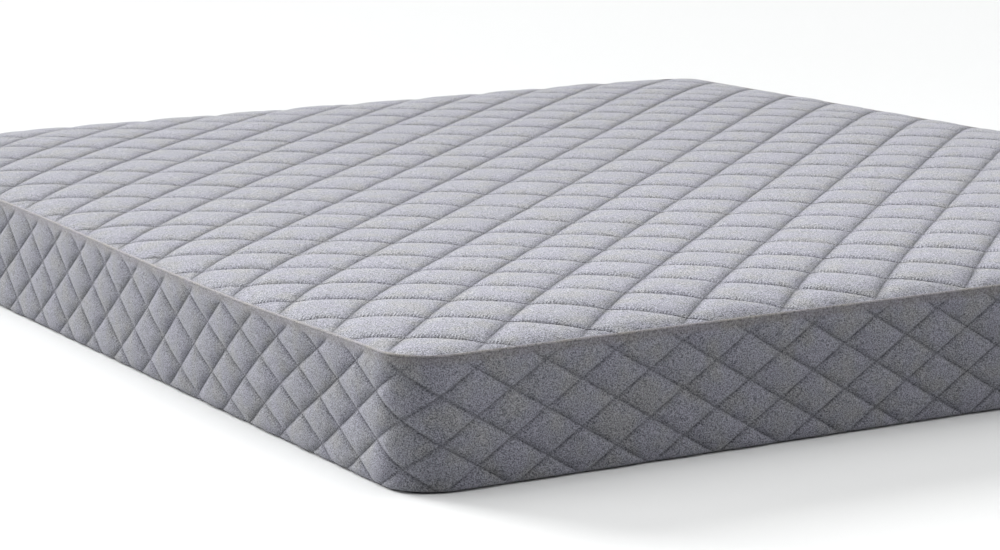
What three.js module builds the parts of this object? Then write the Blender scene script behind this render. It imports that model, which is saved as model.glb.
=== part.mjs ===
// Foam mattress, millimetres, +Z up. The origin is under the middle of the mattress, on the surface it lies
// on. X is the short side and Y the long side. The near corner is the one at -X, -Y.
import * as THREE from 'three';
import { mergeVertices } from 'three/addons/utils/BufferGeometryUtils.js';

// Driving sizes
const width = 1600;
const length = 2000;
const rimHeight = 150;
const cornerRadius = 62;
const clearance = 0.3;

// Rim seam, and the top panel behind it: its lower face, its edge, and the crown that rises from that edge
const rimSeamSize = 4.5;
const rimSeamProud = 0.5;
const panelInset = rimSeamSize - rimSeamProud + 2 * clearance;
const panelUnderside = rimHeight - rimSeamSize;
const panelEdge = 148;
const crownRise = 17;
const crownReach = 85;
const panelPuff = 4.8;
const panelShoulder = 3.2;
const shoulderAt = 0.2;
const panelPuffFade = 18;

// Border: inset of its seams from the outline, puff height above them, and the plain margins above and below
const seamInset = 1.8;
const borderPuff = 3.9;
const borderPuffFade = 8;
const borderTop = panelUnderside - clearance;
const topMargin = 9;
const bottomMargin = 9;
const marginInset = 0.6;

// Underside: the border is turned under, and the base panel fills the shallow recess inside it
const basePanelThickness = 2;
const turnedUnder = 34;
const lowerRings = [
  { inset: turnedUnder, height: basePanelThickness + clearance },
  { inset: turnedUnder, height: 0 },
  { inset: 9, height: 0 },
  { inset: 3, height: 3.2 },
];

// Quilting of the top panel. Both families of seams run at 45 degrees to the sides. Places are measured from
// the near corner: along the diagonal for the falling seams, and across it for the rising ones.
const risingSeams = { count: 29, start: -1149, pitch: 91 };
const fallingSeams = { count: 28, start: -40, pitch: 99.5, swell: 50, swellSpan: 19, swellStart: 4 };

// Quilting of the border, by the distance round the outline from the middle of the near corner. The diamonds
// grow on the -X side, and the rows climb by one diamond there.
const girth = 2 * (width + length) - (8 - 2 * Math.PI) * cornerRadius;
const borderQuilting = [
  { along: 0, diamonds: 0.17, rowHeight: 79, rowStep: 26.6 },
  { along: 1600, diamonds: 18.77, rowHeight: 79, rowStep: 26.6 },
  { along: girth - 1850, diamonds: 60.62, rowHeight: 79, rowStep: 26.6 },
  { along: girth - 1300, diamonds: 66.08, rowHeight: 89.5, rowStep: 33.5 },
  { along: girth - 780, diamonds: 71.27, rowHeight: 89.5, rowStep: 33.5 },
  { along: girth - 200, diamonds: 77, rowHeight: 126, rowStep: 27.2 },
  { along: girth, diamonds: 79.17, rowHeight: 132.2, rowStep: 26.6 },
];
const borderDiamonds = 79;
const borderClimb = 2;
const borderRows = { lowest: -6, highest: 4 };

// The -X side leans out a little near the near corner and in towards the far end. Rows go by distance from
// that corner.
const sideLean = [
  { from: 0, out: 0 },
  { from: 60, out: 0 },
  { from: 400, out: 10 },
  { from: 1350, out: -14 },
  { from: 1940, out: 0 },
  { from: 2000, out: 0 },
];
const leanReach = 400;

// Points round the outline: the steps of each bend, and those of the straight front, +X, back and -X sides
const bendSteps = 6;
const straights = [
  { run: width - 2 * cornerRadius, steps: 6 },
  { run: length - 2 * cornerRadius, steps: 8 },
  { run: width - 2 * cornerRadius, steps: 6 },
  { run: length - 2 * cornerRadius, steps: 36 },
];
const rimSeamSides = 8;

const knit = new THREE.MeshStandardMaterial({ color: 0xa9abb3, roughness: 0.95, metalness: 0 });
const borderKnit = new THREE.MeshStandardMaterial({ color: 0x9a9ca4, roughness: 0.95, metalness: 0 });
const seamKnit = new THREE.MeshStandardMaterial({ color: 0xb0aead, roughness: 0.9, metalness: 0 });
const baseCloth = new THREE.MeshStandardMaterial({ color: 0x8d8f96, roughness: 0.95, metalness: 0 });

const { smoothstep, euclideanModulo, inverseLerp, lerp } = THREE.MathUtils;

// A column of a table at a place, eased from row to row or straight between them.
function readTable(table, key, column, place, eased) {
  const last = table.findIndex((row, i) => i > 0 && (place <= row[key] || i === table.length - 1));
  const before = table[last - 1];
  const after = table[last];
  const share = inverseLerp(before[key], after[key], place);
  return lerp(before[column], after[column], eased ? smoothstep(share, 0, 1) : share);
}

// A point of the outline and the way out there, at a distance round it from the middle of the near corner.
function outlineAt(along) {
  const bend = (Math.PI / 2) * cornerRadius;
  let rest = euclideanModulo(along + bend / 2, girth);
  for (const [corner, { run }] of straights.entries()) {
    const outwards = Math.PI * (1 + corner / 2) + Math.min(rest, bend) / cornerRadius;
    const out = new THREE.Vector2(Math.cos(outwards), Math.sin(outwards));
    if (rest <= bend + run || corner === straights.length - 1) {
      const side = new THREE.Vector2(corner % 3 === 0 ? -1 : 1, corner < 2 ? -1 : 1);
      const centre = new THREE.Vector2(width / 2 - cornerRadius, length / 2 - cornerRadius).multiply(side);
      const ahead = new THREE.Vector2(-out.y, out.x).multiplyScalar(Math.max(rest - bend, 0));
      return { out, point: centre.addScaledVector(out, cornerRadius).add(ahead) };
    }
    rest -= bend + run;
  }
}

// Distances round the outline at which its rings have points, in order: those of the bends, and all of them.
const bendStations = [];
const outlineStations = [];
{
  const bend = (Math.PI / 2) * cornerRadius;
  let start = -bend / 2;
  for (const { run, steps } of straights) {
    for (let i = 0; i <= bendSteps; i++) bendStations.push(start + (bend * i) / bendSteps);
    outlineStations.push(...bendStations.slice(-bendSteps - 1, -1));
    for (let i = 0; i < steps; i++) outlineStations.push(start + bend + (run * i) / steps);
    start += bend + run;
  }
}

// Moves a point by the lean of the -X side, which is none at the floor and fades inwards.
function lean(point) {
  const fromCorner = THREE.MathUtils.clamp(point.y + length / 2, 0, length);
  const out = readTable(sideLean, 'from', 'out', fromCorner, true);
  const near = 1 - smoothstep(point.x + width / 2, 0, leanReach);
  point.x -= (out * near * Math.max(point.z, 0)) / rimHeight;
  return point;
}

function ring(inset, height) {
  return outlineStations.map((along) => {
    const { out, point } = outlineAt(along);
    return lean(new THREE.Vector3(point.x - out.x * inset, point.y - out.y * inset, height));
  });
}

// Cuts flat triangles along the line where x * across + y * up = reach, and keeps the side below reach. The
// points' third number is carried along. A point this near to the line is on it.
const onLine = 1e-6;

function trim(triangles, across, up, reach) {
  const past = (p) => {
    const distance = p.x * across + p.y * up - reach;
    return Math.abs(distance) < onLine ? 0 : distance;
  };
  const kept = [];
  for (const corners of triangles) {
    const polygon = [];
    corners.forEach((p, i) => {
      const q = corners[(i + 1) % corners.length];
      if (past(p) <= 0) polygon.push(p);
      if (past(p) * past(q) < 0) polygon.push(p.clone().lerp(q, past(p) / (past(p) - past(q))));
    });
    for (let i = 2; i < polygon.length; i++) kept.push([polygon[0], polygon[i - 1], polygon[i]]);
  }
  return kept;
}

function split(triangles, across, up, reach) {
  return [...trim(triangles, across, up, reach), ...trim(triangles, -across, -up, -reach)];
}

// The open edges of a sheet of triangles, as closed loops of points.
function openLoops(sheet) {
  const name = (p) => p.toArray().map((v) => v.toFixed(4)).join(' ');
  const edges = new Map();
  for (const [a, b, c] of sheet) {
    for (const [p, q] of [[a, b], [b, c], [c, a]]) {
      if (!edges.delete(`${name(q)} to ${name(p)}`)) edges.set(`${name(p)} to ${name(q)}`, [p, q]);
    }
  }
  const following = new Map([...edges.values()].map(([p, q]) => [name(p), q]));
  const loops = [];
  while (following.size > 0) {
    const loop = [];
    let [from] = following.keys();
    while (following.has(from)) {
      const to = following.get(from);
      following.delete(from);
      loop.push(to);
      from = name(to);
    }
    loops.push(loop);
  }
  return loops;
}

// One band of triangles between two loops, both anticlockwise from above. It faces out where the second is
// higher.
function band(first, second) {
  const angle = (p) => Math.atan2(p.y, p.x);
  const inTurn = (loop) => [...loop].sort((p, q) => angle(p) - angle(q));
  const [lower, upper] = [inTurn(first), inTurn(second)];
  const angleAt = (loop, i) => angle(loop[i % loop.length]) + (i < loop.length ? 0 : 2 * Math.PI);
  const triangles = [];
  let [i, j] = [0, 0];
  while (i < lower.length || j < upper.length) {
    const [p, q] = [lower[i % lower.length], upper[j % upper.length]];
    const lowerNext = angleAt(lower, i + 1) < angleAt(upper, j + 1);
    if (j === upper.length || (i < lower.length && lowerNext)) {
      i += 1;
      triangles.push([p, lower[i % lower.length], q]);
    } else {
      j += 1;
      triangles.push([p, upper[j % upper.length], q]);
    }
  }
  return triangles;
}

function bands(loops) {
  return loops.slice(1).flatMap((loop, i) => band(loops[i], loop));
}

// A flat face that closes a ring, facing up or down.
function cap(loop, facesUp) {
  const flat = loop.map((p) => new THREE.Vector2(p.x, p.y));
  const faces = THREE.ShapeUtils.triangulateShape(flat, []);
  return faces.map(([a, b, c]) => (facesUp ? [loop[a], loop[b], loop[c]] : [loop[a], loop[c], loop[b]]));
}

function solid(name, triangles, material) {
  const geometry = new THREE.BufferGeometry();
  const numbers = triangles.flat().flatMap((p) => p.toArray());
  geometry.setAttribute('position', new THREE.Float32BufferAttribute(numbers, 3));
  const merged = mergeVertices(geometry, 0.001);
  merged.computeVertexNormals();
  const mesh = new THREE.Mesh(merged, material);
  mesh.name = name;
  return mesh;
}

function snap(point) {
  const places = 10000;
  return point.multiplyScalar(places).round().divideScalar(places);
}

// Top panel

function fallingSeam(k) {
  const { start, pitch, swell, swellSpan, swellStart } = fallingSeams;
  return start + pitch * k - swell * Math.sin((2 * Math.PI * (k - swellStart)) / swellSpan);
}

// A point of the plan by its place among the rising and the falling seams, with its relief above them.
function panelPoint(rising, falling, relief) {
  const k = Math.floor(falling);
  const diagonal = lerp(fallingSeam(k), fallingSeam(k + 1), falling - k);
  const across = risingSeams.start + risingSeams.pitch * rising;
  const x = (diagonal - across) / Math.SQRT2 - width / 2;
  const y = (diagonal + across) / Math.SQRT2 - length / 2;
  return new THREE.Vector3(x, y, relief);
}

// One diamond: seams round it, a shoulder that stands steeply off them, and a middle that is highest.
function panelDiamond(rising, falling) {
  const seat = [[0, 0], [0, 1], [1, 1], [1, 0]];
  const nodes = seat.map(([i, j]) => panelPoint(rising + i, falling + j, 0));
  const inwards = (i) => lerp(shoulderAt, 1 - shoulderAt, i);
  const shoulder = seat.map(([i, j]) => panelPoint(rising + inwards(i), falling + inwards(j), panelShoulder));
  const middle = panelPoint(rising + 0.5, falling + 0.5, panelPuff);
  return seat.flatMap((_, i) => {
    const next = (i + 1) % seat.length;
    return [
      [nodes[i], nodes[next], shoulder[next]],
      [nodes[i], shoulder[next], shoulder[i]],
      [shoulder[i], shoulder[next], middle],
    ];
  });
}

function insideOutline(point) {
  const fromSide = new THREE.Vector2(width / 2 - Math.abs(point.x), length / 2 - Math.abs(point.y));
  const corner = new THREE.Vector2(cornerRadius, cornerRadius).sub(fromSide);
  const rounded = corner.x > 0 && corner.y > 0;
  return rounded ? cornerRadius - corner.length() : Math.min(fromSide.x, fromSide.y);
}

function layPanelPoint(point) {
  const rise = (fromSide) => 1 - Math.exp(-Math.max(fromSide - panelInset, 0) / crownReach);
  const crown = crownRise
    * rise(width / 2 - point.x) * rise(width / 2 + point.x)
    * rise(length / 2 - point.y) * rise(length / 2 + point.y);
  const puff = point.z * smoothstep(insideOutline(point) - panelInset, 0, panelPuffFade);
  return lean(snap(new THREE.Vector3(point.x, point.y, panelEdge + crown + puff)));
}

function makeTopPanel() {
  let sheet = [];
  for (let rising = 0; rising < risingSeams.count; rising++) {
    for (let falling = 0; falling < fallingSeams.count; falling++) {
      sheet.push(...panelDiamond(rising, falling));
    }
  }
  const edge = outlineStations.map((along) => {
    const { out, point } = outlineAt(along);
    return point.addScaledVector(out, -panelInset);
  });
  edge.forEach((from, i) => {
    const to = edge[(i + 1) % edge.length];
    const out = new THREE.Vector2(to.y - from.y, from.x - to.x).normalize();
    sheet = trim(sheet, out.x, out.y, out.dot(from));
  });
  sheet = sheet.map((corners) => corners.map(layPanelPoint));
  const [rim] = openLoops(sheet);
  const underside = ring(panelInset, panelUnderside);
  return solid('top_panel', [...sheet, ...band(underside, rim), ...cap(underside, false)], knit);
}

// Border and the filled body that it wraps

// A point of the border by its place among the diamonds: the distance round the outline, the height and the
// relief.
function borderPoint(diamonds, row, relief) {
  const turns = Math.floor((diamonds - borderQuilting[0].diamonds) / borderDiamonds);
  const within = diamonds - turns * borderDiamonds;
  const rowHere = row + turns * borderClimb;
  const along = readTable(borderQuilting, 'diamonds', 'along', within, false);
  const rowHeight = readTable(borderQuilting, 'along', 'rowHeight', along, true);
  const rowStep = readTable(borderQuilting, 'along', 'rowStep', along, true);
  return new THREE.Vector3(along + turns * girth, rowHeight + rowHere * rowStep, relief);
}

function borderDiamond(centre, row) {
  const corners = [[-0.5, 0], [0, -1], [0.5, 0], [0, 1]];
  const nodes = corners.map(([side, up]) => borderPoint(centre + side, row + up, 0));
  const middle = borderPoint(centre, row, borderPuff);
  return nodes.map((node, i) => [node, nodes[(i + 1) % nodes.length], middle]);
}

function layBorderPoint(point) {
  const { out, point: foot } = outlineAt(point.x);
  const fromMargin = Math.min(point.y - bottomMargin, borderTop - topMargin - point.y);
  const fade = smoothstep(fromMargin, 0, borderPuffFade);
  const inset = lerp(marginInset, seamInset - point.z, fade);
  return lean(snap(new THREE.Vector3(foot.x - out.x * inset, foot.y - out.y * inset, point.y)));
}

function makeBorder() {
  let sheet = [];
  for (let halves = 1; halves <= 2 * borderDiamonds; halves++) {
    for (let row = borderRows.lowest; row <= borderRows.highest; row++) {
      if ((halves + row) % 2 !== 0) sheet.push(...borderDiamond(halves / 2, row));
    }
  }
  sheet = trim(sheet, 0, 1, borderTop - topMargin);
  sheet = trim(sheet, 0, -1, -bottomMargin);
  for (const station of bendStations) {
    for (const turn of [0, girth]) sheet = split(sheet, 1, 0, station + turn);
  }
  sheet = sheet.map((corners) => corners.map(layBorderPoint));
  const [lower, upper] = openLoops(sheet).sort((p, q) => p[0].z - q[0].z);
  const under = lowerRings.map(({ inset, height }) => ring(inset, height));
  const rim = ring(marginInset, borderTop);
  const below = [...cap(under[0], false), ...bands([...under, lower])];
  const above = [...band(upper, rim), ...cap(rim, true)];
  return solid('quilted_border', [...below, ...sheet, ...above], borderKnit);
}

// Rim seam: a rounded lip along the top of the border

function makeRimSeam() {
  const radius = rimSeamSize / 2;
  const section = [];
  for (let i = 0; i < rimSeamSides; i++) {
    const turn = (2 * Math.PI * (i + 0.5)) / rimSeamSides;
    const reach = radius / Math.cos(Math.PI / rimSeamSides);
    const inset = radius - rimSeamProud - reach * Math.cos(turn);
    section.push(ring(inset, rimHeight - radius + reach * Math.sin(turn)));
  }
  return solid('rim_seam', bands([...section, section[0]]), seamKnit);
}

function makeBasePanel() {
  const inset = turnedUnder + clearance;
  const outline = outlineStations.map((along) => {
    const { out, point } = outlineAt(along);
    return point.addScaledVector(out, -inset);
  });
  const flat = { depth: basePanelThickness, bevelEnabled: false };
  const mesh = new THREE.Mesh(new THREE.ExtrudeGeometry(new THREE.Shape(outline), flat), baseCloth);
  mesh.name = 'base_panel';
  return mesh;
}

const mattress = new THREE.Group();
mattress.add(makeTopPanel(), makeBorder(), makeRimSeam(), makeBasePanel());

export default mattress;
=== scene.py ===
# %% [markdown]
# # A quilted foam mattress
# The mattress lies on a pale studio floor: a crowned top panel quilted in diamonds, a quilted border round
# the sides, a thin rolled seam along the rim between them, and a plain panel underneath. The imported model
# gives the real sizes. This lesson gives each of its plain solids the surface of the real cloth. It starts
# by loading that model, which leaves its nodes selected, so everything is deselected before any operator
# runs.

import math

import bmesh
import bpy
import numpy as np
from mathutils import Euler, Matrix, Vector


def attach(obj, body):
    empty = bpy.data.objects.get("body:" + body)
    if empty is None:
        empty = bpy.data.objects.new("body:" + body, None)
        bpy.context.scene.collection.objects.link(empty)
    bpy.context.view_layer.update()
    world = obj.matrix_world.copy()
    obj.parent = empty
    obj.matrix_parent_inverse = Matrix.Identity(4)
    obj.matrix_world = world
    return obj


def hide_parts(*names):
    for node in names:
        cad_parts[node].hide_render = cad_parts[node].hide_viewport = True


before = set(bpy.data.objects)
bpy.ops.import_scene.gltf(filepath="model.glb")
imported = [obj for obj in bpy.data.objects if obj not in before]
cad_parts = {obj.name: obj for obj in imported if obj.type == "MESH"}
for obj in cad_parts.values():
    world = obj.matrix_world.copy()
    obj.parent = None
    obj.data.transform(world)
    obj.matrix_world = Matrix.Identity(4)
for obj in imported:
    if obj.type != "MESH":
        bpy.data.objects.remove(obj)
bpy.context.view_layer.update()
bpy.ops.object.select_all(action="DESELECT")
print("nodes:", ", ".join(sorted(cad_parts)))

# %% [markdown]
# ## Camera
# The picture was taken with a long lens, 0.8 m above the floor and a little over three metres from the near
# corner. The place, the three angles and the lens were worked out from the straight edges of the rim and of
# the base. The camera could also be aimed with a Track To constraint, but that can't give the slight roll,
# so the angles are set directly.

# %% Camera
camera_place = Vector((-2.1665, -3.7394, 0.7960))
camera_heading = math.radians(28.3988)
camera_pitch = math.radians(10.3125)
camera_roll = math.radians(-1.0010)

camera_data = bpy.data.cameras.new("camera")
camera_data.sensor_width = 36
camera_data.lens = 107.84
camera = bpy.data.objects.new("camera", camera_data)
bpy.context.scene.collection.objects.link(camera)
aim = Euler((math.pi / 2 - camera_pitch, 0, -camera_heading)).to_matrix()
camera.rotation_euler = (aim @ Matrix.Rotation(camera_roll, 3, "Z")).to_euler()
camera.location = camera_place
bpy.context.scene.camera = camera
print("camera is", round(camera_place.length, 2), "m from the middle of the base")

# %% [markdown]
# ## Sizes of the mattress
# The pieces below follow the same outline, lean and quilting as the solids they replace, so these sizes
# repeat those of the model in metres. `read_table` gives a column of a table at many places at once, either
# eased from row to row or straight between them. Working on whole arrays keeps a mesh of about a hundred
# thousand points quick to shape.

# %% Sizes
mm = 0.001
width = 1600 * mm
length = 2000 * mm
rim_height = 150 * mm
corner_radius = 62 * mm
bend = math.pi / 2 * corner_radius
girth = 2 * (width + length) - (8 - 2 * math.pi) * corner_radius

side_lean = [
    {"from": 0, "out": 0},
    {"from": 60 * mm, "out": 0},
    {"from": 400 * mm, "out": 10 * mm},
    {"from": 1350 * mm, "out": -14 * mm},
    {"from": 1940 * mm, "out": 0},
    {"from": 2000 * mm, "out": 0},
]
lean_reach = 400 * mm


def ease(share):
    share = np.clip(share, 0, 1)
    return share * share * (3 - 2 * share)


def read_table(table, key, column, places, eased):
    keys = np.array([row[key] for row in table], float)
    values = np.array([row[column] for row in table], float)
    last = np.clip(np.searchsorted(keys, places), 1, len(keys) - 1)
    share = (places - keys[last - 1]) / (keys[last] - keys[last - 1])
    share = ease(share) if eased else share
    return values[last - 1] + (values[last] - values[last - 1]) * share


def lean(points):
    """The -X side leans out a little near the near corner and in further back, more the higher up."""
    out = read_table(side_lean, "from", "out", np.clip(points[:, 1] + length / 2, 0, length), True)
    near = 1 - ease((points[:, 0] + width / 2) / lean_reach)
    points[:, 0] -= out * near * np.maximum(points[:, 2], 0) / rim_height
    return points


print("distance round the mattress:", round(girth, 3), "m")

# %% [markdown]
# ## Walking round the outline
# The border and the rim seam both run round a rectangle with rounded corners. `outline_at` turns a distance
# round it, from the middle of the near corner and anticlockwise from above, into the point there and the
# way out of the cloth. A Bevel on a flat rectangle gives the same shape, but a formula also says how far
# along it each stitch lies.

# %% The outline as a formula
def outline_at(along):
    rest = np.mod(along + bend / 2, girth)
    point = np.zeros((len(along), 2))
    out = np.zeros((len(along), 2))
    start = 0
    for corner, (side_x, side_y) in enumerate([(-1, -1), (1, -1), (1, 1), (-1, 1)]):
        run = (width, length)[corner % 2] - 2 * corner_radius
        here = (rest >= start) & (rest <= start + bend + run)
        passed = rest[here] - start
        angle = math.pi * (1 + corner / 2) + np.minimum(passed, bend) / corner_radius
        way = np.stack([np.cos(angle), np.sin(angle)], 1)
        centre = np.array([(width / 2 - corner_radius) * side_x, (length / 2 - corner_radius) * side_y])
        ahead = np.stack([-way[:, 1], way[:, 0]], 1) * np.maximum(passed - bend, 0)[:, None]
        point[here] = centre + way * corner_radius + ahead
        out[here] = way
        start += bend + run
    return point, out


def distance_inside(x, y):
    """How far a point of the plan lies inside the outline."""
    from_side = np.stack([width / 2 - np.abs(x), length / 2 - np.abs(y)])
    into_corner = np.maximum(corner_radius - from_side, 0)
    rounded = (into_corner > 0).all(0)
    return np.where(rounded, corner_radius - np.hypot(*into_corner), from_side.min(0))


print("middle of the near corner:", outline_at(np.zeros(1))[0][0].round(3))

# %% [markdown]
# ## A grid that is fine along the seams
# A quilted cloth changes its slope quickly beside a line of stitches and slowly in the middle of a diamond.
# An even grid would need many faces to hold the crease. Here each diamond has the same few steps across,
# squeezed towards its seams by a sine, and every face remembers its place among the seams in a UV map. The
# materials draw the stitches from that map, and the relief is worked out from it after the grid has been
# cut to its outline.

# %% Quilted grid
squeeze = 0.82
touching = 1e-6
cell_corners = ((0, 0), (1, 0), (1, 1), (0, 1))


def quilted_grid(cells, steps, plan):
    """A flat bmesh of diamonds, each numbered by its first corner among the seams and laid out by plan."""
    even = np.arange(steps) / steps
    shares = even - squeeze * np.sin(2 * np.pi * even) / (2 * np.pi)
    first, second = np.meshgrid(np.arange(steps), np.arange(steps), indexing="ij")
    quads = [np.stack([first + i, second + j], -1).reshape(-1, 2) for i, j in cell_corners]
    corners = np.array(cells)[:, None, None, :] * steps + np.stack(quads, 1)[None]
    numbers, faces = np.unique(corners.reshape(-1, 2), axis=0, return_inverse=True)
    faces = faces.reshape(-1, 4)
    places = numbers // steps + shares[numbers % steps]
    points = np.column_stack([plan(*places.T), np.zeros(len(places))])
    mesh = bpy.data.meshes.new("grid")
    mesh.from_pydata(points.tolist(), [], faces.tolist())
    quilting = mesh.uv_layers.new(name="quilting")
    quilting.data.foreach_set("uv", places[faces.ravel()].astype(np.float32).ravel())
    grid = bmesh.new()
    grid.from_mesh(mesh)
    bpy.data.meshes.remove(mesh)
    return grid


def cut(grid, point, out):
    """Cuts a flat grid along a line and drops the side that out points to."""
    bmesh.ops.bisect_plane(
        grid,
        geom=[*grid.verts, *grid.edges, *grid.faces],
        dist=touching,
        plane_co=(*point, 0),
        plane_no=(*out, 0),
        clear_outer=True,
    )


def read_grid(grid):
    """The flat points of a grid, and each one's place among the seams."""
    quilting = grid.loops.layers.uv.verify()
    flat = np.array([vertex.co[:2] for vertex in grid.verts])
    places = np.array([vertex.link_loops[0][quilting].uv[:] for vertex in grid.verts])
    return flat, places


def lay_grid(grid, points):
    for vertex, point in zip(grid.verts, points):
        vertex.co = point


def mark_quilted(grid, shares):
    """Keeps how plainly each point shows the quilting: 1 where the seams are drawn, 0 on a plain margin."""
    quilted = grid.verts.layers.float.new("quilted")
    for vertex, share in zip(grid.verts, shares):
        vertex[quilted] = share


def shoulders(share, sharpness):
    """Height across a diamond: none at its seams, steep beside them and nearly level in the middle."""
    return 1 - np.abs(2 * (share - np.floor(share)) - 1) ** sharpness


def from_seam(share):
    return np.abs(share - np.round(share))


print("at a seam the grid is", round(1 - squeeze, 2), "of its even spacing")

# %% [markdown]
# ## Top panel
# The cloth of the top is stitched to wadding in diamonds and drawn tight over the foam, so it is a low
# crown covered in puffs. A displacement texture could raise them, but it would not follow the drift of the
# seams: one family of seams is evenly spaced, and the other closes up and opens again in a slow swell. So
# the puffs are laid point by point on the quilted grid. The falling seams cut sharp lines and the rising
# ones lie in soft valleys, so each family has its own shoulders and crease. Each seam also rises a little
# between its crossings, where less cloth is held down. No two diamonds are stuffed quite alike, so each
# draws its own fullness from a normal distribution.

# %% Top panel sizes
panel_inset = 4 * mm
panel_underside = 145.5 * mm
panel_edge = 149 * mm
crown_rise = 16 * mm
crown_reach = 85 * mm
panel_puff = 3.8 * mm
rising_shoulder = 3.6
falling_shoulder = 5
panel_puff_fade = 16 * mm
seam_rise = 0.2 * mm
panel_crease = 0.7 * mm
rising_crease = 0.45
panel_crease_width = 2.8 * mm
valley_depth = 0.8 * mm
valley_width = 9 * mm
panel_steps = 16
panel_seed = 7
corner_cuts = 16

rising_seams = {"count": 29, "start": -1149 * mm, "pitch": 91 * mm}
falling_seams = {
    "count": 28,
    "start": -40 * mm,
    "pitch": 99.5 * mm,
    "swell": 50 * mm,
    "swell_span": 19,
    "swell_start": 4,
}


def falling_seam(number):
    swell = np.sin(2 * np.pi * (number - falling_seams["swell_start"]) / falling_seams["swell_span"])
    return falling_seams["start"] + falling_seams["pitch"] * number - falling_seams["swell"] * swell


def panel_plan(rising, falling):
    """A point of the plan by its place among the seams, which run at 45 degrees to the sides."""
    number = np.floor(falling)
    share = falling - number
    diagonal = falling_seam(number) * (1 - share) + falling_seam(number + 1) * share
    across = rising_seams["start"] + rising_seams["pitch"] * rising
    x = (diagonal - across) / math.sqrt(2) - width / 2
    y = (diagonal + across) / math.sqrt(2) - length / 2
    return np.column_stack([x, y])


print("falling seams along the diagonal, in mm:", [round(falling_seam(number) / mm) for number in range(5)])


# %% Cut the top panel out of its quilted cloth
numbers = np.stack(np.meshgrid(np.arange(rising_seams["count"]), np.arange(falling_seams["count"])), -1)
numbers = numbers.reshape(-1, 2)
reach = [distance_inside(*panel_plan(*(numbers + corner).T).T) for corner in cell_corners]
panel = quilted_grid(numbers[np.max(reach, 0) > 0], panel_steps, panel_plan)
corner_starts = [0, width - 2 * corner_radius + bend, girth / 2]
corner_starts.append(girth / 2 + corner_starts[1])
bend_shares = np.arange(corner_cuts + 1) / corner_cuts - 0.5
cut_points, cut_outs = outline_at(np.concatenate([start + bend * bend_shares for start in corner_starts]))
for point, out in zip(cut_points, cut_outs):
    cut(panel, point - out * panel_inset, out)
print("top panel faces after cutting:", len(panel.faces))


# %% Raise the top panel
puff_unevenness = 0.1
fullness_drawn = 200


def crown(x, y):
    rise = 1.0
    for from_side in (width / 2 - x, width / 2 + x, length / 2 - y, length / 2 + y):
        rise = rise * (1 - np.exp(-np.maximum(from_side - panel_inset, 0) / crown_reach))
    return crown_rise * rise


def diamond_fullness(places, seed):
    """How full each diamond is: its own share of the puff, near 1."""
    fullness = np.random.default_rng(seed).normal(1, puff_unevenness, (fullness_drawn, fullness_drawn))
    cells = np.floor(places).astype(int) % fullness_drawn
    return fullness[cells[:, 0], cells[:, 1]]


flat, places = read_grid(panel)
x, y = flat.T
rising, falling = places.T
puff = shoulders(rising, rising_shoulder) * shoulders(falling, falling_shoulder)
puff = puff * panel_puff * diamond_fullness(places, panel_seed)
between = np.sin(np.pi * rising) ** 2 + np.sin(np.pi * falling) ** 2
to_rising = from_seam(rising) * rising_seams["pitch"]
to_falling = from_seam(falling) * falling_seams["pitch"]
crease = np.maximum(
    rising_crease * np.exp(-((to_rising / panel_crease_width) ** 2)),
    np.exp(-((to_falling / panel_crease_width) ** 2)),
)
valley = valley_depth * np.exp(-((to_rising / valley_width) ** 2))
fade = ease((distance_inside(x, y) - panel_inset) / panel_puff_fade)
height = panel_edge + crown(x, y) + (puff + seam_rise * between - panel_crease * crease - valley) * fade
lay_grid(panel, lean(np.column_stack([x, y, height])))
mark_quilted(panel, np.ones(len(x)))
print("top panel rises to", round(height.max() / mm, 1), "mm")


# %% [markdown]
# ## Closing a padded piece
# A padded piece is a closed form. So the open edge of the quilted sheet is extruded to where the cloth is
# held, the loop is filled, and `finish_mesh` turns the bmesh into an object. A Solidify modifier would give
# the cloth a thickness instead, and leave it hollow. The faces added here are hidden by their neighbours
# and need no relief.

# %% Close a sheet into a solid
def open_edges(grid):
    return [edge for edge in grid.edges if edge.is_boundary]


def extrude_edges(grid, edges, move):
    """Extrudes a loop of edges, moves each new vertex by a function of its place, and gives the new loop."""
    made = bmesh.ops.extrude_edge_only(grid, edges=edges)["geom"]
    for vertex in made:
        if isinstance(vertex, bmesh.types.BMVert):
            vertex.co = move(vertex.co.copy())
    return [edge for edge in made if isinstance(edge, bmesh.types.BMEdge) and edge.is_boundary]


def finish_mesh(grid, name):
    bmesh.ops.recalc_face_normals(grid, faces=grid.faces)
    mesh = bpy.data.meshes.new(name)
    grid.to_mesh(mesh)
    grid.free()
    mesh.shade_smooth()
    piece = bpy.data.objects.new(name, mesh)
    bpy.context.scene.collection.objects.link(piece)
    triangles = sum(len(face.vertices) - 2 for face in mesh.polygons)
    print(f"{name}: {triangles} triangles, {len([e for e in mesh.edges if e.is_loose])} loose edges")
    return piece


skirt = extrude_edges(panel, open_edges(panel), lambda place: Vector((place.x, place.y, panel_underside)))
bmesh.ops.contextual_create(panel, geom=skirt)
top_quilt = finish_mesh(panel, "top_quilt")

# %% [markdown]
# ## Border
# The border is one strip of the same quilted cloth, wrapped round the foam and turned under it. Its
# diamonds are laid on a flat strip first, with the distance round the mattress along X and the height up Y,
# and the strip is cut to its height there. Then it is wrapped: the lowest part lies under the mattress,
# lifts a little off the floor, turns and goes up the side. That lift leaves the thin dark line above the
# floor. The rows climb by one diamond on the -X side, where the diamonds are also larger, so the strip
# meets itself exactly when it has gone all the way round. A Shrinkwrap could press it on too, but a formula
# keeps every diamond's length along the outline.

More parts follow.
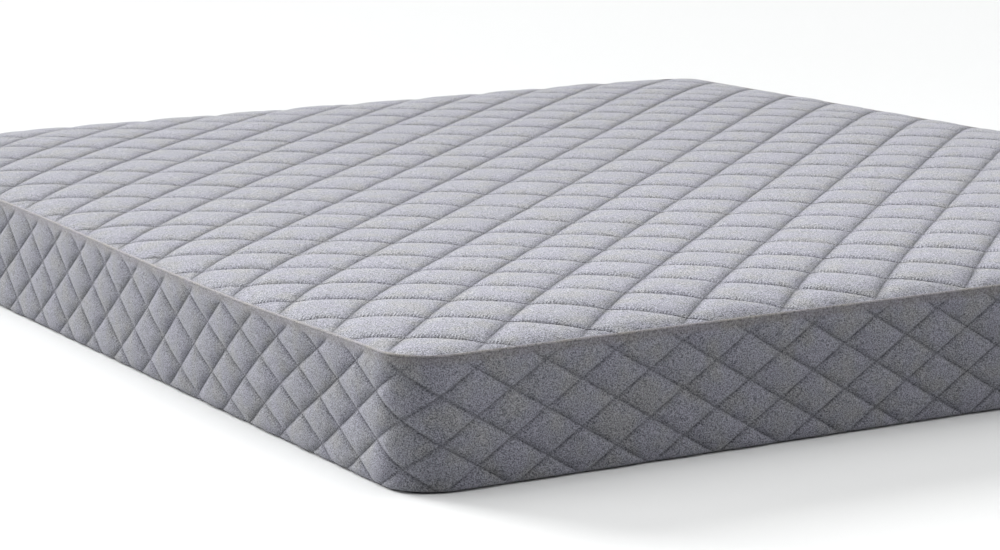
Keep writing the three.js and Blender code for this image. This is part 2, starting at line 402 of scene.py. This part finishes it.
# %% Border sizes
seam_inset = 1.8 * mm
border_puff = 3.9 * mm
border_shoulder = 3.2
border_crease = 0.7 * mm
border_crease_width = 2.4 * mm
border_top = 148.2 * mm
border_lid = 145.2 * mm
lap_under = {"inset": 0.3 * mm, "height": 147.2 * mm}
puff_fades = {"low": -1 * mm, "low_over": 9 * mm, "high": 4.8 * mm, "high_over": 8 * mm}
stitch_fades = {"low": -8 * mm, "low_over": 4 * mm, "high": 4.8 * mm, "high_over": 6 * mm}
margin_inset = 0.1 * mm
bottom_radius = 3.5 * mm
edge_lift = 1.6 * mm
lift_reach = 10 * mm
turned_under = 34 * mm
recess_height = 2.3 * mm
under_lip = 2 * mm
weld = 0.02 * mm
border_steps = 12
border_seed = 11

border_diamonds = 79
border_climb = 2
seam_spacing = 45.7 * mm
border_rows = {"lowest": -6, "highest": 4}
border_quilting = [
    {"along": 0, "diamonds": 0.17, "row_height": 79 * mm, "row_step": 26.6 * mm},
    {"along": 1600 * mm, "diamonds": 18.77, "row_height": 79 * mm, "row_step": 26.6 * mm},
    {"along": girth - 1850 * mm, "diamonds": 60.62, "row_height": 79 * mm, "row_step": 26.6 * mm},
    {"along": girth - 1300 * mm, "diamonds": 66.08, "row_height": 89.5 * mm, "row_step": 33.5 * mm},
    {"along": girth - 780 * mm, "diamonds": 71.27, "row_height": 89.5 * mm, "row_step": 33.5 * mm},
    {"along": girth - 200 * mm, "diamonds": 77, "row_height": 126 * mm, "row_step": 27.2 * mm},
    {"along": girth, "diamonds": 79.17, "row_height": 132.2 * mm, "row_step": 26.6 * mm},
]


def border_plan(first, second):
    """A point of the flat strip, by its place among the two families of seams."""
    diamonds = (first + second) / 2
    row = first - second
    turns = np.floor((diamonds - border_quilting[0]["diamonds"]) / border_diamonds)
    within = diamonds - turns * border_diamonds
    along = read_table(border_quilting, "diamonds", "along", within, False)
    row_height = read_table(border_quilting, "along", "row_height", along, True)
    row_step = read_table(border_quilting, "along", "row_step", along, True)
    return np.column_stack([along + turns * girth, row_height + (row + turns * border_climb) * row_step])


print("diamonds round the border:", border_diamonds)
print("each is on average", round(girth / border_diamonds / mm, 1), "mm wide")


# %% Cut the border out of its quilted cloth
turn_height = bottom_radius + edge_lift
strip_bottom = turn_height + bottom_radius - math.pi / 2 * bottom_radius - turned_under
cells = []
for halves in range(1, 2 * border_diamonds + 1):
    for row in range(border_rows["lowest"], border_rows["highest"] + 1):
        if (halves + row) % 2:
            cells.append([(halves + row - 1) // 2, (halves - row - 1) // 2])
border = quilted_grid(cells, border_steps, border_plan)
cut(border, (0, strip_bottom), (0, -1))
cut(border, (0, border_top), (0, 1))
print("border faces after cutting:", len(border.faces))
print("the strip is", round((border_top - strip_bottom) / mm, 1), "mm tall before it is wrapped")


# %% Wrap the border round the foam
def wrap(along, height, inset):
    """A point of the strip on the mattress: up the side, or round the soft bottom edge and in under it."""
    angle = np.clip((turn_height - height) / bottom_radius, 0, math.pi / 2)
    under = np.maximum(turn_height - height - math.pi / 2 * bottom_radius, 0)
    inwards = bottom_radius * (1 - np.cos(angle)) + under + inset * np.cos(angle)
    z = np.maximum(height, turn_height) - (bottom_radius - inset) * np.sin(angle)
    z = z - edge_lift * ease(under / lift_reach)
    point, out = outline_at(along)
    return lean(np.column_stack([point - out * inwards[:, None], z]))


flat, places = read_grid(border)
along, height = flat.T
puffed, stitched = (
    ease((height - fades["low"]) / fades["low_over"])
    * ease((border_top - height - fades["high"]) / fades["high_over"])
    for fades in (puff_fades, stitch_fades)
)
puff = shoulders(places[:, 0], border_shoulder) * shoulders(places[:, 1], border_shoulder)
puff = puff * border_puff * diamond_fullness(places, border_seed)
seam_distance = np.minimum(*(from_seam(place) * seam_spacing for place in places.T))
crease = border_crease * np.exp(-((seam_distance / border_crease_width) ** 2))
margin = margin_inset * (height > rim_height / 2)
inset = margin * (1 - puffed) + (seam_inset + crease - puff) * puffed
lay_grid(border, wrap(along, height, inset))
mark_quilted(border, stitched)
bmesh.ops.remove_doubles(border, verts=border.verts, dist=weld)
print("open edges:", len(open_edges(border)))


# %% [markdown]
# The top edge of the strip laps over the lower half of the rim's roll, so that no groove shows under it.
# The edge is extruded just behind itself first, and then in and down under the roll, to end just below the
# top panel. The bottom edge goes up into the recess. The two loops could be bridged instead, which would
# leave a hollow ring, where flat lids keep the piece solid like the foam in it.

# %% Close the border
def move_in(distance, height):
    """A move for extruded edges: inwards from the outline by distance, to a given height."""
    def moved(place):
        inside = Vector((width / 2 - corner_radius, length / 2 - corner_radius))
        centre = Vector([max(-side, min(side, value)) for side, value in zip(inside, place.xy)])
        way = (place.xy - centre).normalized()
        return Vector((*(place.xy - way * distance), height))
    return moved


lower, upper = [], []
for edge in open_edges(border):
    (lower if edge.verts[0].co.z < rim_height / 2 else upper).append(edge)
upper = extrude_edges(border, upper, move_in(lap_under["inset"], lap_under["height"]))
upper = extrude_edges(border, upper, move_in(under_lip, border_lid))
lower = extrude_edges(border, lower, lambda place: Vector((place.x, place.y, recess_height)))
for loop in (upper, lower):
    bmesh.ops.contextual_create(border, geom=loop)
border_quilt = finish_mesh(border, "border_quilt")

# %% [markdown]
# ## Rim seam
# Where the top panel meets the border, the cloth is folded over the seam and makes a thin roll round the
# whole rim. It is warmer in colour than the panels beside it, and level with the border that laps against
# it. It could be a curve with a round bevel, but here it is made from a plane: its corners are bevelled to
# the outline's radius, its long edges are subdivided so that they can follow the lean of the side, and the
# loop that is left is turned into a tube by way of a curve, which becomes a mesh again.

# %% Rim seam
roll_size = 3.4 * mm
roll_above = 0.7 * mm
roll_corner_segments = 24
roll_cuts = 40

roll_inset = roll_size / 2
roll_middle = rim_height + roll_above - roll_size / 2
bpy.ops.mesh.primitive_plane_add(size=1, location=(0, 0, roll_middle))
rim_roll = bpy.context.object
rim_roll.name = "rim_roll"
rim_roll.scale = (width - 2 * roll_inset, length - 2 * roll_inset, 1)
bpy.ops.object.transform_apply(location=True, rotation=True, scale=True)
bpy.ops.object.mode_set(mode="EDIT")
bpy.ops.mesh.select_mode(type="VERT")
bpy.ops.mesh.select_all(action="SELECT")
bpy.ops.mesh.bevel(offset=corner_radius - roll_inset, segments=roll_corner_segments, affect="VERTICES")
bpy.ops.mesh.select_all(action="SELECT")
bpy.ops.mesh.delete(type="ONLY_FACE")
bpy.ops.object.mode_set(mode="OBJECT")
for edge in rim_roll.data.edges:
    ends = [rim_roll.data.vertices[i].co for i in edge.vertices]
    edge.select = (ends[0] - ends[1]).length > corner_radius
bpy.ops.object.mode_set(mode="EDIT")
bpy.ops.mesh.select_mode(type="EDGE")
bpy.ops.mesh.subdivide(number_cuts=roll_cuts)
bpy.ops.object.mode_set(mode="OBJECT")
print("points round the rim:", len(rim_roll.data.vertices))

# %% Turn the loop into a roll
bpy.ops.object.convert(target="CURVE")
rim_roll.data.bevel_depth = roll_size / 2
rim_roll.data.bevel_resolution = 3
bpy.ops.object.convert(target="MESH")
for vertex in rim_roll.data.vertices:
    vertex.co = lean(np.array([vertex.co]))[0]
rim_roll.data.shade_smooth()
rim_roll.select_set(False)
print("rim roll:", len(rim_roll.data.polygons), "faces")

# %% [markdown]
# ## Materials
# All of the visible cloth is polyester knit whose face was brushed into a short pile. That gives the eye a
# matt, slightly soft grey, pale where the tips of the pile catch the light, with pin-sized dark flecks
# between the tufts. The quilted pieces also carry their stitches. One function adds a node, with its
# settings and what goes into its sockets.

# %% Helpers for materials
def linear(code):
    """An sRGB hex colour as linear red, green and blue, with alpha 1."""
    shares = [int(code[i : i + 2], 16) / 255 for i in (1, 3, 5)]
    return [c / 12.92 if c <= 0.04045 else ((c + 0.055) / 1.055) ** 2.4 for c in shares] + [1]


def add_node(material, kind, sockets=(), stops=(), **settings):
    """A new node. Sockets gives inputs, by name or number, a value or what is linked there: a socket or a
    node. Stops gives a colour ramp its places and hex colours."""
    node = material.node_tree.nodes.new(kind)
    for name, value in settings.items():
        setattr(node, name, value)
    for key, source in dict(sockets).items():
        socket = node.inputs[key] if isinstance(key, int) else next(
            each for each in node.inputs if each.enabled and each.name == key
        )
        if isinstance(source, bpy.types.Node):
            source = next(each for each in source.outputs if each.enabled)
        if isinstance(source, bpy.types.NodeSocket):
            material.node_tree.links.new(source, socket)
        else:
            socket.default_value = source
    if stops:
        ramp = node.color_ramp.elements
        while len(ramp) < len(stops):
            ramp.new(1)
        for element, (place, code) in zip(ramp, stops):
            element.position = place
            element.color = linear(code)
    return node


def new_material(name):
    material = bpy.data.materials.new(name)
    material.use_nodes = True
    material.node_tree.nodes.clear()
    return material


print("middle grey in linear light:", round(linear("#808080")[0], 3))

# %% [markdown]
# ## Brushed knit
# The pile is a fine noise of about a tuft's size, which also lifts the surface. Real tufts are under a
# millimetre across, too fine for the picture, so they are drawn at one and a half. Flecks are the lowest
# places of a second noise. A slow third noise lets the grey drift between lilac, blue and a plain grey, as
# dyed pile does. An image of real cloth could give all this too, but would repeat and would not be sharp
# from every distance.

# %% Brushed knit
tuft = 1.5 * mm
fleck = 3 * mm
shade_drift = 30 * mm
pile_depth = 0.7 * mm
between_tufts = 0.32
tuft_tips = 0.66
fleck_edge = 0.38
fleck_middle = 0.3
fleck_strength = 0.45
fleck_tone = "#3c3d42"
knit_tints = [(0.35, "#c8c8d2"), (0.52, "#c6c7cd"), (0.68, "#c9c9c9")]


def pile_colour(material, light, dark):
    """The colour of the pile, and the noise of its tufts."""
    place = add_node(material, "ShaderNodeTexCoord").outputs["Object"]
    tufts, flecks, drift = (
        add_node(material, "ShaderNodeTexNoise", {"Vector": place, "Scale": 1 / size, "Detail": detail})
        for size, detail in ((tuft, 2.0), (fleck, 1.0), (shade_drift, 1.0))
    )
    tint = add_node(material, "ShaderNodeValToRGB", {"Fac": drift}, stops=knit_tints)
    pile = add_node(
        material, "ShaderNodeValToRGB", {"Fac": tufts}, stops=[(between_tufts, dark), (tuft_tips, light)]
    )
    cloth = add_node(
        material,
        "ShaderNodeMix",
        {"Factor": 1.0, "A": tint, "B": pile},
        data_type="RGBA",
        blend_type="MULTIPLY",
    )
    in_fleck = add_node(
        material,
        "ShaderNodeMapRange",
        {"Value": flecks, "From Min": fleck_edge, "From Max": fleck_middle, "To Max": fleck_strength},
    )
    flecked = add_node(
        material, "ShaderNodeMix", {"Factor": in_fleck, "A": cloth, "B": linear(fleck_tone)}, data_type="RGBA"
    )
    return flecked, tufts


def finish_knit(material, colour, bump):
    shader = add_node(
        material,
        "ShaderNodeBsdfPrincipled",
        {
            "Base Color": colour,
            "Roughness": 0.95,
            "Specular IOR Level": 0.2,
            "Sheen Weight": 0.15,
            "Sheen Roughness": 0.5,
            "Normal": bump,
        },
    )
    add_node(material, "ShaderNodeOutputMaterial", {"Surface": shader})
    return material


print("tufts, flecks and drift in mm:", [round(size / mm, 1) for size in (tuft, fleck, shade_drift)])

# %% [markdown]
# ## Stitches
# The quilting map counts seams, so the distance to the nearest seam of each family is what is left of the
# map's two numbers, times the spacing of the seams. Along the seam the other number gives the stitches, a
# short dark dash of thread for each, and the small puckers that the thread draws into the cloth beside it.
# So the map is also used with its two numbers swapped, and a dot product pairs each family's distance with
# what runs along it. The stitches could also be thousands of small meshes, but at this distance they are
# only a mark. The thread is about half a millimetre thick, too fine for the picture, so its dashes are
# drawn at about two. On the margin, where the cloth has no stitches, the colour is a little darker and
# warmer.

# %% What the seams mark
stitch_length = 3.6 * mm
dash_full = 0.27
dash_end = 0.36
thread_core = 0.45 * mm
thread_width = 1.8 * mm
# How far from a seam the painted crease shade reaches.
crease_shade_width = 4.5 * mm
pucker_length = 4 * mm
pucker_reach = 15 * mm
wander_size = 12 * mm
pucker_wander = 0.04


def from_whole(material, numbers, factor):
    """The distance of both numbers from the nearest whole number, after they are multiplied by a factor."""
    scaled = add_node(material, "ShaderNodeVectorMath", {0: numbers, "Scale": factor}, operation="SCALE")
    ends = {1: (0.5, 0.5, 0.5), 2: (-0.5, -0.5, -0.5)}
    wrapped = add_node(material, "ShaderNodeVectorMath", {0: scaled, **ends}, operation="WRAP")
    return add_node(material, "ShaderNodeVectorMath", {0: wrapped}, operation="ABSOLUTE")


def fade_out(material, distances, start, end, shows):
    """A mark for both families of seams: as strong as shows up to the start, and gone at the end."""
    return add_node(
        material,
        "ShaderNodeMapRange",
        {
            "Vector": distances,
            "From Min": (start,) * 3,
            "From Max": (end,) * 3,
            "To Min": (*shows, 0),
            "To Max": (0, 0, 0),
        },
        data_type="FLOAT_VECTOR",
        interpolation_type="SMOOTHSTEP",
    )


def seam_marks(material, spacing, side, shows):
    """The stitches, the painted crease shade and the puckers of both families of seams, each from 0 for none.
    """
    quilting = add_node(material, "ShaderNodeUVMap", uv_map="quilting")
    parts = add_node(material, "ShaderNodeSeparateXYZ", {0: quilting})
    swapped = add_node(material, "ShaderNodeCombineXYZ", {"X": parts.outputs["Y"], "Y": parts.outputs["X"]})
    near_seam = from_whole(material, quilting, 1)
    thread = fade_out(material, near_seam, thread_core / spacing, thread_width / spacing, shows)
    # This crease mark only darkens the colour: painted shade beside each seam, where the groove lies in
    # shade.
    crease = fade_out(material, near_seam, 0, crease_shade_width / spacing, shows)
    pucker = fade_out(material, near_seam, 0, pucker_reach / spacing, (max(shows), max(shows)))

    near_stitch = from_whole(material, swapped, side / stitch_length)
    dashes = fade_out(material, near_stitch, dash_full, dash_end, (1, 1))
    place = add_node(material, "ShaderNodeTexCoord").outputs["Object"]
    wander = add_node(material, "ShaderNodeTexNoise", {"Vector": place, "Scale": 1 / wander_size})
    wandering = add_node(
        material,
        "ShaderNodeVectorMath",
        {0: wander.outputs["Color"], 1: (pucker_wander,) * 3, 2: swapped},
        operation="MULTIPLY_ADD",
    )
    folds = from_whole(material, wandering, side / pucker_length)
    marks = [
        add_node(material, "ShaderNodeVectorMath", {0: across, 1: ahead}, operation="DOT_PRODUCT")
        for across, ahead in ((thread, dashes), (crease, (1, 1, 0)), (pucker, folds))
    ]
    return [mark.outputs["Value"] for mark in marks]


print("stitches and puckers, in mm:", [round(size / mm, 1) for size in (stitch_length, pucker_length)])

# %% [markdown]
# The marks darken the cloth and shape it. Beside each seam the colour is darkened with painted shade, where
# the crease lies in shade, and the thread is mixed in as a darker tone. A chain of bump nodes adds the pile,
# the puckers and the dents of the stitches, each on top of the one before. The low relief of the quilting
# itself is in the mesh. Folds only reach one half, so their bump gets twice the depth of a pucker.

# %% Quilted knit and plain knit
thread_depth = 0.8 * mm
pucker_depth = 1.2 * mm
quilted_pile_strength = 0.8
plain_pile_strength = 0.6
# Painted shade: how far the colour beside each seam is darkened, and the dark grey it is darkened towards.
crease_shade = 0.28
painted_crease_shade_tone = "#2c2d33"
stitch_shade = 0.8
thread_tone = "#34353b"
margin_share = 0.35
margin_tone = "#6e6763"


def pile_bump(material, tufts, strength):
    raised = {"Height": tufts, "Distance": pile_depth, "Strength": strength}
    return add_node(material, "ShaderNodeBump", raised)


def quilted_knit(name, spacing, side, light, dark, shows):
    """Brushed knit with seams this far apart and diamonds with sides this long. The pile hides part of the
    thread, so shows gives for both families of seams how much of it is left, from 0 to 1. Shows also scales
    the painted crease shade."""
    material = new_material(name)
    colour, tufts = pile_colour(material, light, dark)
    quilted = add_node(material, "ShaderNodeAttribute", attribute_name="quilted").outputs["Fac"]
    stitches, painted_crease_shade, puckers = seam_marks(material, spacing, side, shows)

    # The colour is first darkened with painted crease shade beside the seams, and then the thread's dashes
    # are mixed in.
    sewn = colour
    shades = ((painted_crease_shade, crease_shade, painted_crease_shade_tone), (stitches, stitch_shade, thread_tone))
    for mark, strength, tone in shades:
        share = add_node(material, "ShaderNodeMapRange", {"Value": mark, "To Max": strength})
        mixed = {"Factor": share, "A": sewn, "B": linear(tone)}
        sewn = add_node(material, "ShaderNodeMix", mixed, data_type="RGBA")
    mixed = {"Factor": margin_share, "A": colour, "B": linear(margin_tone)}
    margin = add_node(material, "ShaderNodeMix", mixed, data_type="RGBA")
    mixed = {"Factor": quilted, "A": margin, "B": sewn}
    shown = add_node(material, "ShaderNodeMix", mixed, data_type="RGBA")

    bump = pile_bump(material, tufts, quilted_pile_strength)
    for mark, depth, dented in ((puckers, 2 * pucker_depth, False), (stitches, thread_depth, True)):
        raised = {"Height": mark, "Distance": depth, "Strength": quilted, "Normal": bump}
        bump = add_node(material, "ShaderNodeBump", raised, invert=dented)
    return finish_knit(material, shown, bump)


def plain_knit(name, light, dark):
    """The same knit where it has no quilting."""
    material = new_material(name)
    colour, tufts = pile_colour(material, light, dark)
    return finish_knit(material, colour, pile_bump(material, tufts, plain_pile_strength))


# %% [markdown]
# The top's rising seams show their thread half as strongly as the falling ones, and the border's show about
# a third of it. Both shares were matched to the picture. The border's diamonds are larger on the -X
# side, and so are its marks.

# %% Give the pieces their knit
panel_side = 95 * mm
border_side = 52.3 * mm
panel_knit = quilted_knit(
    "brushed polyester knit, top", rising_seams["pitch"], panel_side, "#dedee2", "#5e5f63", shows=(0.5, 1)
)
border_knit = quilted_knit(
    "brushed polyester knit, border", seam_spacing, border_side, "#c5c5c9", "#6d6e74", shows=(0.35, 0.35)
)
rim_knit = plain_knit("brushed polyester knit, folded rim", "#c9c5c2", "#9d9996")
for piece, knit in ((top_quilt, panel_knit), (border_quilt, border_knit), (rim_roll, rim_knit)):
    piece.data.materials.append(knit)
    print(f"{piece.name}: {knit.name}, {len(knit.node_tree.nodes)} nodes")

# %% [markdown]
# ## Base cloth
# The panel underneath is a plain woven polyester, thin and hard wearing, which looks flat and dull beside
# the knit. Its solid already has the right shape, so it stays and only gets a finish: two crossed wave
# textures are its threads, drawn two millimetres apart, coarser than the real ones, so that they still
# show. A wave texture of scale one repeats every tenth of pi, and its scale follows from that.

# %% Woven base cloth
thread_spacing = 2 * mm
thread_rise = 0.3 * mm
wave_period = math.pi / 10
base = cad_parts["base_panel"]
woven = new_material("woven polyester base cloth")
place = add_node(woven, "ShaderNodeTexCoord").outputs["Object"]
wave = {"Vector": place, "Scale": wave_period / thread_spacing, "Distortion": 0.6, "Detail Scale": 60.0}
waves = [
    add_node(woven, "ShaderNodeTexWave", wave, bands_direction=direction).outputs["Fac"]
    for direction in ("X", "Y")
]
weave = add_node(woven, "ShaderNodeMath", {0: waves[0], 1: waves[1]}, operation="MULTIPLY")
threads = add_node(woven, "ShaderNodeValToRGB", {"Fac": weave}, stops=[(0.0, "#6f7178"), (0.7, "#9b9da4")])
woven_bump = add_node(woven, "ShaderNodeBump", {"Height": weave, "Distance": thread_rise, "Strength": 0.7})
woven_shader = add_node(
    woven, "ShaderNodeBsdfPrincipled", {"Base Color": threads, "Roughness": 0.85, "Normal": woven_bump}
)
add_node(woven, "ShaderNodeOutputMaterial", {"Surface": woven_shader})
base.data.materials.clear()
base.data.materials.append(woven)
print("base cloth:", woven.name, "with threads", round(thread_spacing / mm, 1), "mm apart")

# %% [markdown]
# ## Studio
# A plain pale floor runs far past the frame, so it is the background too. Most of the light comes from
# behind on the left, low enough to shade the near side of every puff. Suns with a wide angle give soft
# light that is even all over and leaves no pools on the floor, and one soft disc hangs over the near
# corner, for what fades towards the far end. One large area light could stand for all of them, but then the
# sides could not be matched apart. Angles are in degrees, and a larger one softens the shadows.

# %% Floor
floor_size = 60
bpy.ops.mesh.primitive_plane_add(size=floor_size)
floor = bpy.context.object
floor.name = "studio_floor"
floor_paint = new_material("matt studio floor paint")
floor_grain = add_node(floor_paint, "ShaderNodeTexNoise", {"Scale": 3.0})
floor_colour = add_node(
    floor_paint, "ShaderNodeValToRGB", {"Fac": floor_grain}, stops=[(0.3, "#d5d6d6"), (0.7, "#d7d7d7")]
)
floor_shader = add_node(
    floor_paint, "ShaderNodeBsdfPrincipled", {"Base Color": floor_colour, "Roughness": 0.9}
)
add_node(floor_paint, "ShaderNodeOutputMaterial", {"Surface": floor_shader})
floor.data.materials.append(floor_paint)
floor.select_set(False)
print("floor:", floor_size, "m across")

# %% Lights
suns = [
    {"name": "behind left", "place": (-1.5, 5, 1.9), "energy": 4.7, "angle": 25},
    {"name": "behind right", "place": (1.5, 6, 2.2), "energy": 1, "angle": 30},
    {"name": "high behind", "place": (0, 2.2, 4), "energy": 1.2, "angle": 50},
    {"name": "right", "place": (4, 0, 3), "energy": 0.4, "angle": 40},
    {"name": "straight above", "place": (0, 0, 5), "energy": 0.3, "angle": 70},
    {"name": "low left", "place": (-4, 3, 1), "energy": 0.85, "angle": 25},
    {"name": "low right", "place": (4, -2, 1.1), "energy": 1.2, "angle": 30},
]
disc = {"name": "over the near corner", "place": (-0.8, -1.1, 2.3), "energy": 29, "size": 2}
sky = {"colour": "#fafafc", "strength": 0.05}


def add_light(name, kind, place, **settings):
    """A light at a place that faces the mattress."""
    data = bpy.data.lights.new(name, kind)
    for key, value in settings.items():
        setattr(data, key, value)
    light = bpy.data.objects.new(name, data)
    light.location = place
    light.rotation_euler = (-Vector(place)).to_track_quat("-Z", "Y").to_euler()
    light.visible_camera = False
    bpy.context.scene.collection.objects.link(light)


for sun in suns:
    add_light(sun["name"], "SUN", sun["place"], energy=sun["energy"], angle=math.radians(sun["angle"]))
add_light(disc["name"], "AREA", disc["place"], shape="DISK", size=disc["size"], energy=disc["energy"])

world = bpy.data.worlds.new("studio")
world.use_nodes = True
background = world.node_tree.nodes["Background"]
background.inputs["Color"].default_value = linear(sky["colour"])
background.inputs["Strength"].default_value = sky["strength"]
bpy.context.scene.world = world
bpy.context.scene.view_settings.view_transform = "Standard"
print("lights:", len(suns), "suns and one disc")

# %% [markdown]
# ## The pieces and the frame
# Every new piece rides on the mattress's one body and stands for its plain solid, which is hidden. The model
# could be parented by hand instead, but then nothing would say which solid each piece replaces.

# %% Hand the pieces to the frame
for piece, node, slot in (
    (top_quilt, "top_panel", "top_knit"),
    (border_quilt, "quilted_border", "border_knit"),
    (rim_roll, "rim_seam", "seam_knit"),
):
    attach(piece, "root")
    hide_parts(node)
